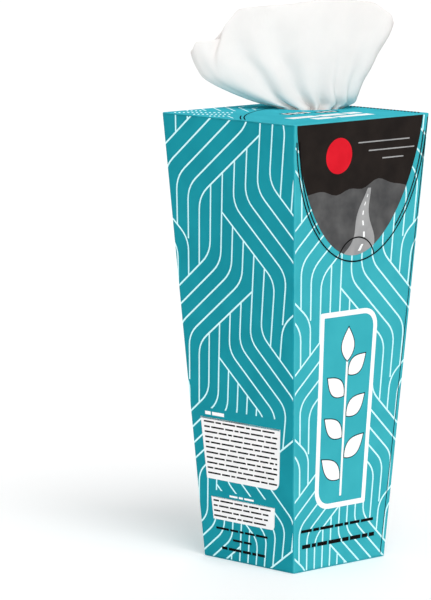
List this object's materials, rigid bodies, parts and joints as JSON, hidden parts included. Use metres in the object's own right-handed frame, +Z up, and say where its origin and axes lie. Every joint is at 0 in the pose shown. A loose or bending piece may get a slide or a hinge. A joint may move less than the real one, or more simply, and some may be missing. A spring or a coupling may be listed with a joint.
{
  "type": "tissue box",
  "caption": "Tall square tissue box, narrow at the base to stand in a cup holder, with card walls, a stack of tissues inside and a tissue pulled up through its top.",
  "frame": {"origin": "centre of the base, on the surface that the box stands on", "axes": "+Z up; the front panel with the tear bow faces -Y; +X is to the right of the front panel"},
  "size_m": [0.0822, 0.0843, 0.2258],
  "materials": {
    "printed_card": "teal print with a satin varnish",
    "tissue_paper": "soft, matt, two plies"
  },
  "bodies": {
    "root": {"carton": "printed_card", "tissue_stack": "tissue_paper", "pulled_tissue": "tissue_paper"}
  },
  "joints": []
}
